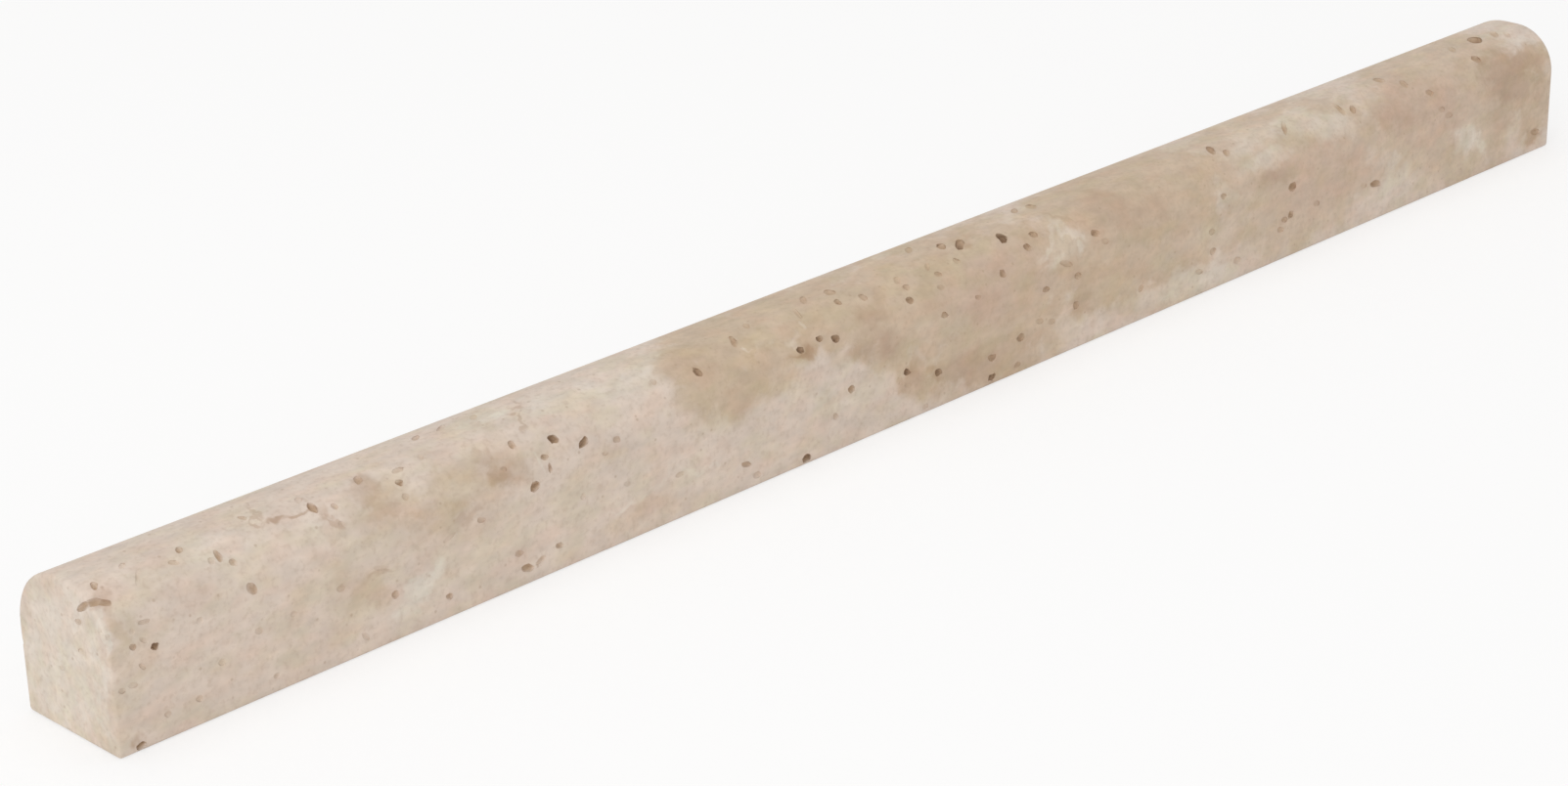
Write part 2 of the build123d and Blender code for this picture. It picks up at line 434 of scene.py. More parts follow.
VOIDS = (
    # The near end and its arrises
    Void(OPEN, x=106, y=616.5, long=17, wide=7),
    Void(OPEN, x=95.5, y=616, long=19, wide=8, lean=10, late=True),
    Void(OPEN, x=85, y=620.5, long=14, wide=8, lean=35),
    Void(OPEN, x=96, y=599, long=8, wide=8),
    Void(OPEN, x=80, y=636, long=6, wide=6),
    Void(DIMPLE, x=64, y=683, long=6, wide=6),
    Void(DIMPLE, x=83, y=666, long=6, wide=6),
    Void(DIMPLE, x=110, y=652, long=6, wide=6),
    Void(DEEP, x=144.5, y=763, long=11, wide=6, lean=35),
    Void(DIMPLE, x=125, y=579, long=7, wide=6),
    Void(SHALLOW, x=147, y=636, long=13, wide=5, lean=20),
    Void(DIMPLE, x=135, y=646, long=6, wide=6),
    Void(DIMPLE, x=136, y=701, long=9, wide=6),
    # The first quarter
    Void(DEEP, x=158.5, y=661.5, long=8, wide=8),
    Void(OPEN, x=182.5, y=562.5, wide=6),
    Void(SHALLOW, x=177.5, y=575.5, long=11, wide=5),
    Void(DIMPLE, x=140.5, y=590, long=18, wide=5, lean=90),
    Void(OPEN, x=136, y=662, wide=6),
    Void(SHALLOW, x=147, y=655, long=9, wide=5, lean=-20),
    Void(SHALLOW, x=145.5, y=682, long=8, wide=5, lean=-40),
    Void(DIMPLE, x=125, y=707),
    Void(DIMPLE, x=172, y=730.5),
    Void(DIMPLE, x=204, y=715),
    Void(DIMPLE, x=204, y=635),
    Void(DIMPLE, x=216, y=574),
    Void(OPEN, x=223, y=569, long=14, wide=6, lean=-60),
    Void(SHALLOW, x=238, y=575, long=8),
    Void(SHALLOW, x=258, y=602, long=13, wide=10, lean=-40),
    Void(DIMPLE, x=227, y=677.5),
    Void(DIMPLE, x=265, y=645, long=8),
    Void(SHALLOW, x=248, y=530, long=9, wide=4, lean=-20),
    Void(DIMPLE, x=283, y=691, long=7, wide=5, lean=25),
    Void(DIMPLE, x=300, y=628, long=6, wide=6),
    Void(DIMPLE, x=305, y=512),
    Void(OPEN, x=319.5, y=519.5, long=13, wide=8, lean=-45),
    Void(DIMPLE, x=337, y=528, long=13, wide=4, lean=-32),
    Void(SHALLOW, x=342, y=518, long=7, wide=6),
    Void(DIMPLE, x=349, y=536, long=6, wide=6),
    Void(SHALLOW, x=366, y=491, long=9, wide=8),
    Void(DIMPLE, x=348.5, y=602, long=8),
    Void(DIMPLE, x=374, y=651, long=9, wide=6, lean=-45),
    # The second quarter
    Void(DIMPLE, x=390, y=581, long=16, wide=5),
    Void(SHALLOW, x=407, y=481, long=13, wide=5, lean=25),
    Void(OPEN, x=408.5, y=494, long=8),
    Void(DIMPLE, x=414.5, y=508.5),
    Void(SHALLOW, x=404, y=608, long=9, lean=80),
    Void(SHALLOW, x=425, y=448, wide=5),
    Void(DIMPLE, x=430, y=468, long=6, wide=6),
    Void(DIMPLE, x=451, y=438, long=7, wide=6),
    Void(DIMPLE, x=459, y=550, long=16, wide=4, lean=40),
    Void(OPEN, x=460, y=610),
    Void(DIMPLE, x=484, y=427, long=7, wide=5),
    Void(SHALLOW, x=492, y=532, long=8, wide=6),
    Void(DIMPLE, x=515, y=480, long=7, wide=5),
    Void(OPEN, x=523, y=455, long=9, wide=6, lean=-55),
    Void(SHALLOW, x=531, y=566, long=8),
    Void(OPEN, x=539.5, y=581, long=12, wide=8),
    Void(SHALLOW, x=553, y=573, long=13, wide=5, lean=40),
    Void(OPEN, x=547, y=498, long=10, wide=9, lean=90),
    Void(DEEP, x=565.5, y=449, long=12, wide=8, lean=-10),
    Void(OPEN, x=557, y=467.5, long=8, wide=6),
    Void(OPEN, x=562.5, y=479, long=10, wide=4, lean=100),
    Void(OPEN, x=572, y=558, long=8, wide=6),
    Void(DEEP, x=596.5, y=453, long=13, wide=7, lean=50),
    Void(DIMPLE, x=596, y=508, long=7, wide=5, lean=90),
    Void(DIMPLE, x=618.5, y=464, long=6, wide=5),
    Void(SHALLOW, x=630.5, y=449.5, long=8),
    Void(DIMPLE, x=641, y=495, long=6, wide=5),
    Void(DIMPLE, x=668, y=391, wide=6),
    Void(DIMPLE, x=695, y=485, long=9, wide=5, lean=25),
    # The third quarter
    Void(DEEP, x=713, y=380.5, long=12, wide=6, lean=-35),
    Void(OPEN, x=749.5, y=349, long=11, wide=6, lean=-65),
    Void(SHALLOW, x=763, y=333.5, wide=5),
    Void(OPEN, x=763, y=475, long=9, wide=6),
    Void(DIMPLE, x=774, y=486, long=8),
    Void(SHALLOW, x=815, y=320.5, long=14, wide=4, lean=-50),
    Void(SHALLOW, x=821, y=307),
    Void(DEEP, x=818.5, y=358.5, long=7, wide=7),
    Void(DEEP, x=825, y=468.5, long=10, wide=7, lean=25),
    Void(DEEP, x=838, y=347, wide=6),
    Void(DIMPLE, x=848, y=299, long=12, wide=5, lean=-5),
    Void(DEEP, x=854.5, y=346, long=8, wide=8),
    Void(SHALLOW, x=854.5, y=426, wide=6, lean=70),
    Void(OPEN, x=856.5, y=309, wide=6),
    Void(OPEN, x=871, y=398, long=8, wide=6, lean=80),
    Void(SHALLOW, x=882, y=304, long=9, wide=5, lean=-25),
    Void(DIMPLE, x=917, y=287, lean=90),
    Void(SHALLOW, x=926.5, y=294, wide=6),
    Void(DEEP, x=927.5, y=381),
    Void(SHALLOW, x=929, y=256, wide=6),
    Void(OPEN, x=930, y=307, long=8),
    Void(DIMPLE, x=928, y=394, wide=5),
    Void(DIMPLE, x=946, y=416, long=7, wide=5, lean=25),
    Void(SHALLOW, x=948, y=273, long=8, wide=5, lean=90),
    Void(DEEP, x=959, y=381),
    Void(SHALLOW, x=959, y=280.5, long=8, wide=5),
    Void(OPEN, x=962, y=252, long=8, lean=-50),
    Void(SHALLOW, x=962, y=294, wide=5),
    Void(OPEN, x=966, y=322, wide=6),
    Void(DIMPLE, x=978, y=267, wide=6),
    Void(DEEP, x=981, y=250, long=11, wide=9, lean=80),
    Void(SHALLOW, x=1000, y=304, long=6, wide=5),
    Void(OPEN, x=1014, y=366, long=8),
    Void(DEEP, x=1014, y=385.5, long=8, wide=6, lean=25),
    Void(DEEP, x=1024.5, y=243, long=11, wide=10),
    Void(OPEN, x=1025, y=280, long=8, wide=7, lean=90),
    Void(SHALLOW, x=1037, y=216, wide=5),
    Void(SHALLOW, x=1040, y=373, long=7, wide=5, lean=25),
    Void(OPEN, x=1043.5, y=345.5, long=8, wide=7, lean=90),
    Void(OPEN, x=1050.5, y=253),
    Void(DIMPLE, x=1054, y=211.5, long=8, wide=6, lean=-30),
    Void(OPEN, x=1056.5, y=240, long=9, wide=6),
    Void(DIMPLE, x=1063, y=328.5, wide=6),
    Void(OPEN, x=1069.5, y=296, wide=6),
    Void(DIMPLE, x=1075, y=329, wide=6),
    # The far quarter
    Void(SHALLOW, x=1090, y=270, long=12, wide=6, lean=-10),
    Void(SHALLOW, x=1100, y=312, long=8, wide=6, lean=90),
    Void(SHALLOW, x=1102, y=282),
    Void(OPEN, x=1119.5, y=238.5, long=8),
    Void(DIMPLE, x=1130, y=247, wide=6),
    Void(DIMPLE, x=1166, y=295, long=7, wide=5, lean=90),
    Void(SHALLOW, x=1226, y=278, wide=5),
    Void(OPEN, x=1238, y=153.5, long=8),
    Void(SHALLOW, x=1239, y=237, long=6, wide=6),
    Void(SHALLOW, x=1240, y=257, long=7, wide=6, lean=90),
    Void(SHALLOW, x=1251, y=200.5, long=6, wide=6),
    Void(SHALLOW, x=1254, y=156.5, long=8, wide=6, lean=-20),
    Void(DIMPLE, x=1264.5, y=266),
    Void(SHALLOW, x=1309, y=235, long=6, wide=6),
    Void(OPEN, x=1313, y=131, long=14, wide=5, lean=-80),
    Void(SHALLOW, x=1313, y=225, long=6, wide=6),
    Void(OPEN, x=1319.5, y=219.5, long=7, wide=5, lean=90),
    Void(OPEN, x=1321.5, y=191, long=9, wide=7, lean=80),
    Void(DIMPLE, x=1346, y=208, long=6, wide=6),
    Void(SHALLOW, x=1370, y=112, long=24, wide=4, lean=-42),
    Void(OPEN, x=1383, y=112, long=7, wide=6, lean=90),
    Void(DIMPLE, x=1394, y=190, long=6, wide=5),
    Void(OPEN, x=1406, y=188, long=10, wide=7),
    Void(DIMPLE, x=1410, y=82, long=11, wide=4, lean=-15),
    Void(DIMPLE, x=1435, y=86),
    Void(SHALLOW, x=1461.5, y=95, long=8, wide=6),
    Void(DIMPLE, x=1474, y=112, long=6, wide=6),
    Void(DIMPLE, x=1481, y=118, long=7, wide=6),
    Void(DIMPLE, x=1484, y=50.5, wide=6),
    Void(OPEN, x=1508, y=41, long=13, wide=7, lean=-10),
    Void(SHALLOW, x=1509, y=60.5, long=9),
    Void(DIMPLE, x=1527, y=35, long=8, wide=6),
    Void(DIMPLE, x=1541, y=36, long=6, wide=6),
    Void(SHALLOW, x=1569, y=135, long=8),
)


@dataclass(frozen=True)
class HonedTravertine:
    """Travertine, sawn and honed but not filled or polished.

    A soft, dull face: cloudy cream with rose, tan and olive drifts, fine grain and pin-prick
    pores. The walls of its voids are rough and stained brown, with painted shade that makes them darker
    further in.
    """

    name: str = "honed travertine"
    cream: str = "D4C4B6"
    rosy_tint: str = "FFF9F6"
    straw_tint: str = "FAFCF4"
    # The voids' wall colours: brown stain together with painted shade, darker further in
    grain: str = "AC927A"
    void_lip_stain_and_shade: str = "B69C82"
    void_floor_stain_and_shade: str = "846850"
    drift_size: float = 14.0
    drift_push: float = 4.0
    curl_size: float = 3.2
    curl_push: float = 2.2
    wisp_size: float = 4.0
    wisp_span: tuple[float, float] = (0.25, 0.75)  # the noise's low and high
    tear_span: tuple[float, float] = (0.3, 1.7)  # what they shrink and swell a cloud by
    cloud_depth: float = 40.0
    patch_size: float = 5.0
    patch_strength: float = 0.26  # how far the lightest and the darkest lie apart, over the mean
    mottle_size: float = 1.6
    mottle_strength: float = 0.34
    bed_stretch: float = 1.7  # the mottle lies along the bed, this much longer than it is high
    tint_size: float = 3.0
    tint_span: tuple[float, float] = (0.4, 0.7)
    tint_shift: float = 7.0  # keeps the two tints' patterns apart
    # The real grain is finer than a pixel of the picture, so it is drawn coarse enough to show
    grain_size: float = 0.7
    grain_span: tuple[float, float] = (0.5, 0.8)
    grain_strength: float = 0.35
    pore_spacing: float = 2.4
    pore_span: tuple[float, float] = (0.12, 0.05)  # from a pore's rim to its floor, over the spacing
    pore_strength: float = 0.5
    lip_span: tuple[float, float] = (0.0, 0.5)  # depths in a void where its stain and painted shade start and are full
    floor_span: tuple[float, float] = (0.35, 1.2)
    roughness: float = 0.58
    roughness_spread: float = 0.06
    wall_roughness: float = 0.95
    ior: float = 1.55  # calcite, between its two indices
    bump_strength: float = 0.25
    bump_height: float = 0.05

    def build(self, camera: PhotoCamera) -> Material:
        """Make the stone's material.

        Args:
            camera: the viewpoint that the clouds are laid out from.

        Returns:
            The material.
        """
        material = bpy.data.materials.new(self.name)
        tree = empty_tree(material)
        place = add_node(tree, "ShaderNodeTexCoord", output="Object")
        colour = self._clouds(tree, place, camera)
        along_bed = (1 / self.bed_stretch, 1.0, 1.0)
        bedded = add_node(tree, "ShaderNodeVectorMath", {0: place, 1: along_bed}, operation="MULTIPLY")
        colour = self._mottle(tree, bedded, colour)
        colour, rough, height = self._grain(tree, place, colour)
        colour, rough = self._void_walls(tree, colour, rough)
        bump = add_node(
            tree,
            "ShaderNodeBump",
            {"Strength": self.bump_strength, "Distance": self.bump_height * MM, "Height": height},
        )
        shader = add_node(
            tree,
            "ShaderNodeBsdfPrincipled",
            {"Base Color": colour, "Roughness": rough, "IOR": self.ior, "Normal": bump},
        )
        add_node(tree, "ShaderNodeOutputMaterial", {"Surface": shader})
        return material

    def _warp(self, tree: NodeTree, place: NodeSocket) -> NodeSocket:
        """Push places about, so that a cloud's edge drifts and curls.

        Args:
            tree: the material's tree.
            place: the place in the stone.

        Returns:
            The pushed place.
        """
        for size, push in ((self.drift_size, self.drift_push), (self.curl_size, self.curl_push)):
            inputs = {"Vector": place, "Scale": per_metre(size), "Detail": 3.0}
            noise = add_node(tree, "ShaderNodeTexNoise", inputs, "Color")
            inputs = {0: noise, 1: NOISE_MIDDLE}
            centred = add_node(tree, "ShaderNodeVectorMath", inputs, operation="SUBTRACT")
            inputs = {0: centred, 1: (push * MM * 2,) * 3, 2: place}
            place = add_node(tree, "ShaderNodeVectorMath", inputs, operation="MULTIPLY_ADD")
        return place

    def _clouds(self, tree: NodeTree, place: NodeSocket, camera: PhotoCamera) -> NodeSocket:
        """Lay the clouds of each tone over the cream ground.

        Args:
            tree: the material's tree.
            place: the place in the stone.
            camera: the viewpoint that the clouds are laid out from.

        Returns:
            The clouded colour.
        """
        warped = self._warp(tree, place)
        wisps = add_node(
            tree, "ShaderNodeTexNoise", {"Vector": warped, "Scale": per_metre(self.wisp_size), "Detail": 5.0}
        )
        (low, high), (least, most) = self.wisp_span, self.tear_span
        tear = add_node(
            tree,
            "ShaderNodeMapRange",
            {"Value": wisps, "From Min": low, "From Max": high, "To Min": least, "To Max": most},
        )
        colour: object = linear(self.cream)
        for tone in Tone:
            mask: object = 0.0
            for cloud in CLOUDS:
                if cloud.tone is tone:
                    share = self._cloud(tree, warped, tear, cloud, camera)
                    mask = add_node(tree, "ShaderNodeMath", {0: mask, 1: share}, operation="MAXIMUM")
            inputs = {0: mask, 6: colour, 7: linear(tone.value)}
            colour = add_node(tree, "ShaderNodeMix", inputs, 2, data_type="RGBA")
        return colour

    def _cloud(
        self, tree: NodeTree, warped: NodeSocket, tear: NodeSocket, cloud: Cloud, camera: PhotoCamera
    ) -> NodeSocket:
        """Make the soft, torn mask of one cloud, which runs into the stone along the line of sight.

        Args:
            tree: the material's tree.
            warped: the pushed place in the stone.
            tear: the noise that tears the cloud's edge, about 1.
            cloud: the cloud.
            camera: the viewpoint that it is laid out from.

        Returns:
            The cloud's share, from 0 to its strength.
        """
        middle, _ = camera.find(cloud.x, cloud.y)
        toward = (Vector(camera.eye) * MM - middle).normalized()
        turn, long, wide = camera.lay_oval(middle, toward, cloud.lean, cloud.long, cloud.wide)
        inside = add_node(
            tree,
            "ShaderNodeMapping",
            {
                "Vector": warped,
                "Location": middle,
                "Rotation": turn.to_euler(),
                "Scale": (long, wide, self.cloud_depth * MM),
            },
            vector_type="TEXTURE",
        )
        swell = add_node(tree, "ShaderNodeTexGradient", {"Vector": inside}, 1, gradient_type="SPHERICAL")
        torn = add_node(tree, "ShaderNodeMath", {0: swell, 1: tear}, operation="MULTIPLY")
        return add_node(
            tree,
            "ShaderNodeMapRange",
            {"Value": torn, "From Max": cloud.soft, "To Max": cloud.strength},
            interpolation_type="SMOOTHSTEP",
        )

    def _tinge(
        self,
        tree: NodeTree,
        colour: NodeSocket,
        stain: str,
        value: NodeSocket,
        span: tuple[float, float],
        most: float = 1.0,
        curve: str = "LINEAR",
        blend: str = "MIX",
    ) -> tuple[NodeSocket, NodeSocket]:
        """Stain a colour, by how far a value has come along a span.

        Args:
            tree: the material's tree.
            colour: the colour to stain.
            stain: the stain, as a hex colour.
            value: the value that the stain follows.
            span: the values where the stain starts and where it is full.
            most: the stain's share where it is full.
            curve: how the share grows along the span.
            blend: how the stain goes into the colour.

        Returns:
            The stained colour and the stain's share.
        """
        start, full = span
        share = add_node(
            tree,
            "ShaderNodeMapRange",
            {"Value": value, "From Min": start, "From Max": full, "To Max": most},
            interpolation_type=curve,
        )
        inputs = {0: share, 6: colour, 7: linear(stain)}
        return add_node(tree, "ShaderNodeMix", inputs, 2, data_type="RGBA", blend_type=blend), share

    def _mottle(self, tree: NodeTree, place: NodeSocket, colour: NodeSocket) -> NodeSocket:
        """Mottle the stone: lighter and darker, and now rosy, now straw-coloured.

        Args:
            tree: the material's tree.
            place: the place in the stone.
            colour: the clouded colour.

        Returns:
            The mottled colour.
        """
        levels = ((self.patch_size, self.patch_strength), (self.mottle_size, self.mottle_strength))
        for size, strength in levels:
            noise = add_node(
                tree,
                "ShaderNodeTexNoise",
                {"Vector": place, "Scale": per_metre(size), "Detail": 2.0, "Roughness": 0.6},
            )
            ends = {"To Min": 1 - strength / 2, "To Max": 1 + strength / 2}
            level = add_node(tree, "ShaderNodeMapRange", {"Value": noise, **ends})
            colour = add_node(tree, "ShaderNodeVectorMath", {0: colour, "Scale": level}, operation="SCALE")
        for number, tint in enumerate((self.rosy_tint, self.straw_tint)):
            apart = self.tint_shift * number
            noise = add_node(
                tree,
                "ShaderNodeTexNoise",
                {"Vector": place, "W": apart, "Scale": per_metre(self.tint_size), "Detail": 2.0},
                noise_dimensions="4D",
            )
            colour, _ = self._tinge(
                tree, colour, tint, noise, self.tint_span, curve="SMOOTHSTEP", blend="MULTIPLY"
            )
        return colour

    def _grain(
        self, tree: NodeTree, place: NodeSocket, colour: NodeSocket
    ) -> tuple[NodeSocket, NodeSocket, NodeSocket]:
        """Add the fine grain and the pin-prick pores.

        Args:
            tree: the material's tree.
            place: the place in the stone.
            colour: the mottled colour.

        Returns:
            The grained colour, the roughness and the bump height.
        """
        noise = add_node(
            tree, "ShaderNodeTexNoise", {"Vector": place, "Scale": per_metre(self.grain_size), "Detail": 3.0}
        )
        colour, _ = self._tinge(tree, colour, self.grain, noise, self.grain_span, self.grain_strength)
        cell = add_node(
            tree, "ShaderNodeTexVoronoi", {"Vector": place, "Scale": per_metre(self.pore_spacing)}, "Distance"
        )
        colour, pore = self._tinge(tree, colour, self.grain, cell, self.pore_span, self.pore_strength)
        smoothest = self.roughness - self.roughness_spread
        roughest = self.roughness + self.roughness_spread
        rough = add_node(
            tree, "ShaderNodeMapRange", {"Value": noise, "To Min": smoothest, "To Max": roughest}
        )
        height = add_node(tree, "ShaderNodeMath", {0: noise, 1: pore}, operation="SUBTRACT")
        return colour, rough, height

    def _void_walls(
        self, tree: NodeTree, colour: NodeSocket, rough: NodeSocket
    ) -> tuple[NodeSocket, NodeSocket]:
        """Stain the voids' walls and paint shade on them, darker by how far each lies below the honed face.

        Args:
            tree: the material's tree.
            colour: the honed face's colour.
            rough: the honed face's roughness.

        Returns:
            The colour and the roughness, with the walls in them.
        """
        depth = add_node(tree, "ShaderNodeAttribute", output="Fac", attribute_name=DEPTH_ATTRIBUTE)
        # Each wall colour is partly real stain and partly painted shade that deepens with depth
        for stain, (start, full) in ((self.void_lip_stain_and_shade, self.lip_span), (self.void_floor_stain_and_shade, self.floor_span)):
            span = (start * MM, full * MM)
            colour, share = self._tinge(tree, colour, stain, depth, span, curve="SMOOTHSTEP")
            rough = add_node(tree, "ShaderNodeMix", {0: share, 2: rough, 3: self.wall_roughness})
        return colour, rough


@dataclass(frozen=True)
class PaleFloorPaint:
    """Matt white paint on the studio floor, which shows white and keeps a soft shadow."""

    name: str = "matt white studio paint"
    white: str = "FBFAF9"
    glow: float = 0.6  # the share of the floor's white that doesn't wait for the lamps

    def build(self) -> Material:
        """Make the floor's material.

        Returns:
            The material.
        """
        material = bpy.data.materials.new(self.name)
        tree = empty_tree(material)
        paint = add_node(tree, "ShaderNodeBsdfDiffuse", {"Color": linear(self.white)})
        white = add_node(tree, "ShaderNodeEmission", {"Color": (1.0, 1.0, 1.0, 1.0)})
        share = add_node(tree, "ShaderNodeMath", {0: seen_directly(tree), 1: self.glow}, operation="MULTIPLY")
        both = add_node(tree, "ShaderNodeMixShader", {0: share, 1: paint, 2: white})
        add_node(tree, "ShaderNodeOutputMaterial", {"Surface": both})
        return material


@dataclass
class Moulding:
    """The bar of stone: a swept section with rounded shoulders, cut by the stone's own voids."""

    camera: PhotoCamera
    finish: HonedTravertine
    front_shoulder: float = 7.5
    back_shoulder: float = 9.0
    arris: float = 0.45  # rounding of the sawn corners
    mesh_step: float = 1.1
    shoulder_steps: int = 13
    arris_steps: int = 3
    void_spacing: float = 3.4  # least distance between the voids of the unseen faces
    void_density: float = 14000.0  # the most of them, to the square metre
    void_seed: int = 11
    void_half: tuple[float, float] = (0.28, 0.85)  # half the width of a scattered void
    void_stretch: tuple[float, float] = (1.0, 1.9)  # its length, over its width
    void_depth: tuple[float, float] = (0.4, 1.6)  # its depth, over half its width
    void_rarity: float = 3.0  # power that makes wide ones rarer than narrow ones
    unseen_facing: float = -0.1  # a face that looks less toward the camera than this isn't seen
    void_opening: float = 1.15  # a void's worn rim, over its mouth as marked
    void_sink: float = 0.25  # how far a void's middle lies below the face, over its depth
    void_ruggedness: float = 1.5  # how far its wall wanders, over the lesser of its half width and depth
    void_wander_size: float = 0.7
    crisp_angle: float = 42.0  # degrees past which an edge shows as one
    sawn_end_share: float = 0.9999  # how squarely a face of the sawn ends looks along the bar
    tree: NodeTree = field(init=False)
    given: bpy_prop_collection = field(init=False)

    def build(self) -> Object:
        """Make the bar as a plain mesh at the origin.

        Returns:
            The finished object.
        """
        bpy.context.view_layer.update()
        stone = self.finish.build(self.camera)
        bar = bpy.data.objects.new("travertine_bar", self._mark_voids())
        bpy.context.scene.collection.objects.link(bar)
        self.tree = bpy.data.node_groups.new("travertine bar", "GeometryNodeTree")
        self.given = self._name_inputs()
        self._lay_out(stone)
        modifier = bar.modifiers.new("sawn honed bar", "NODES")
        modifier.node_group = self.tree
        for item in self.tree.interface.items_tree:
            if item.in_out == "INPUT" and item.socket_type != "NodeSocketGeometry":
                modifier[item.identifier] = item.default_value
        bpy.context.view_layer.update()
        evaluated = bar.evaluated_get(bpy.context.evaluated_depsgraph_get())
        mesh = bpy.data.meshes.new_from_object(evaluated)
        bar.modifiers.remove(modifier)
        bar.data = mesh
        return bar

    def _mark_voids(self) -> Mesh:
        """Mark each void that the photograph shows with a point, its turn and its reach.

        Returns:
            A mesh of loose points with their attributes.
        """
        places, turns, reaches, late = [], [], [], []
        for void in VOIDS:
            place, normal = self.camera.find(void.x, void.y)
            turn, long, wide = self.camera.lay_oval(
                place, normal, void.lean, void.long * self.void_opening, void.wide * self.void_opening
            )
            places.append(place)
            turns.append(turn.to_euler())
            reaches.append((long / 2, wide / 2, min(long, wide) * void.form.value))
            late.append(void.late)
        mesh = bpy.data.meshes.new("void_marks")
        mesh.from_pydata(places, [], [])
        for name, values in ((TURN_ATTRIBUTE, turns), (REACH_ATTRIBUTE, reaches)):
            attribute = mesh.attributes.new(name, "FLOAT_VECTOR", "POINT")
            attribute.data.foreach_set("vector", [part for value in values for part in value])
        mesh.attributes.new(LATE_ATTRIBUTE, "BOOLEAN", "POINT").data.foreach_set("value", late)
        return mesh

    def _name_inputs(self) -> bpy_prop_collection:
        """Give the tree its named sizes.

        Returns:
            The tree's inputs, by name.
        """
        low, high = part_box(NODE)
        size = high - low
        sizes = {
            "Length": size.x,
            "Width": size.y,
            "Height": size.z,
            "Front Shoulder": self.front_shoulder * MM,
            "Back Shoulder": self.back_shoulder * MM,
            "Arris": self.arris * MM,
            "Mesh Step": self.mesh_step * MM,
            "Void Spacing": self.void_spacing * MM,
            "Void Density": self.void_density,
            "Void Ruggedness": self.void_ruggedness,
        }
        sockets = self.tree.interface
        sockets.new_socket("Geometry", in_out="INPUT", socket_type="NodeSocketGeometry")
        for name, value in sizes.items():
            socket = sockets.new_socket(name, in_out="INPUT", socket_type="NodeSocketFloat")
            socket.default_value = value
        seed = sockets.new_socket("Void Seed", in_out="INPUT", socket_type="NodeSocketInt")
        seed.default_value = self.void_seed
        sockets.new_socket("Geometry", in_out="OUTPUT", socket_type="NodeSocketGeometry")
        return add_node(self.tree, "NodeGroupInput").node.outputs

    def _lay_out(self, stone: Material) -> None:
        """Lay out the nodes that sweep the bar and cut its voids.

        Args:
            stone: the material of the finished bar.
        """
        tree = self.tree
        whole = self._sweep()
        cut = add_node(
            tree, "GeometryNodeMeshBoolean", {"Mesh 1": whole}, operation="DIFFERENCE", solver="MANIFOLD"
        )
        for lot in (*self._marked(), self._scatter(whole)):
            tree.links.new(self._voids(*lot), cut.node.inputs["Mesh 2"])
        below = add_node(tree, "GeometryNodeProximity", {0: whole}, "Distance", target_element="FACES")
        cut = add_node(
            tree,
            "GeometryNodeStoreNamedAttribute",
            {"Geometry": cut, "Name": DEPTH_ATTRIBUTE, "Value": below},
            data_type="FLOAT",
            domain="POINT",
        )
        cut = self._smooth(cut)
        cut = add_node(tree, "GeometryNodeRealizeInstances", {"Geometry": cut})
        cut = add_node(tree, "GeometryNodeSetMaterial", {"Geometry": cut, "Material": stone})
        add_node(tree, "NodeGroupOutput", {0: cut})

    def _sweep(self) -> NodeSocket:
        """Sweep the section along the bar, drawn in at both ends by the rounded arris.

        Returns:
            The closed mesh of the bar before its voids.
        """
        section = self._section()
        path, draw_in = self._path()
        return add_node(
            self.tree,
            "GeometryNodeCurveToMesh",
            {"Curve": path, "Profile Curve": section, "Scale": draw_in, "Fill Caps": True},
        )

    def _section(self) -> NodeSocket:
        """Draw the section: a square foot, upright sides and two rounded shoulders.

        Returns:
            The section's closed outline, upside down, as the sweep takes it.
        """
        tree, given = self.tree, self.given
        block = add_node(
            tree,
            "GeometryNodeCurvePrimitiveQuadrilateral",
            {name: given[name] for name in ("Width", "Height")},
        )
        place = add_node(tree, "GeometryNodeInputPosition")
        sides = add_node(tree, "ShaderNodeSeparateXYZ", {0: place}).node.outputs
        crown = add_node(tree, "FunctionNodeCompare", {0: sides["Y"], 1: 0.0}, operation="LESS_THAN")
        front = add_node(tree, "FunctionNodeCompare", {0: sides["X"], 1: 0.0}, operation="GREATER_THAN")
        shoulder = add_node(
            tree,
            "GeometryNodeSwitch",
            {"Switch": front, "False": given["Back Shoulder"], "True": given["Front Shoulder"]},
            input_type="FLOAT",
        )
        radius, steps = [
            add_node(
                tree, "GeometryNodeSwitch", {"Switch": crown, "False": low, "True": high}, input_type=kind
            )
            for low, high, kind in (
                (given["Arris"], shoulder, "FLOAT"),
                (self.arris_steps, self.shoulder_steps, "INT"),
            )
        ]
        rounded = add_node(
            tree, "GeometryNodeFilletCurve", {"Curve": block, "Count": steps, "Radius": radius}, mode="POLY"
        )
        following = add_node(tree, "GeometryNodeOffsetPointInCurve", {"Offset": 1}, "Point Index")
        after = add_node(
            tree, "GeometryNodeFieldAtIndex", {"Index": following, "Value": place}, data_type="FLOAT_VECTOR"
        )
        gap = add_node(tree, "ShaderNodeVectorMath", {0: place, 1: after}, "Value", operation="DISTANCE")
        cuts = add_node(tree, "ShaderNodeMath", {0: gap, 1: given["Mesh Step"]}, operation="DIVIDE")
        return add_node(tree, "GeometryNodeSubdivideCurve", {"Curve": rounded, "Cuts": cuts})

    def _path(self) -> tuple[NodeSocket, NodeSocket]:
        """Set out the stations of the sweep, close together in the rounded ends.

        Returns:
            The path through the section's middle, and the section's scale at each station.
        """
        tree = self.tree
        round_arris = float(self.arris_steps)
        quarter = math.pi / 2
        values: dict[object, NodeSocket] = {"index": add_node(tree, "GeometryNodeInputIndex")}
        for name in ("Length", "Width", "Height", "Arris", "Mesh Step"):
            values[name] = self.given[name]
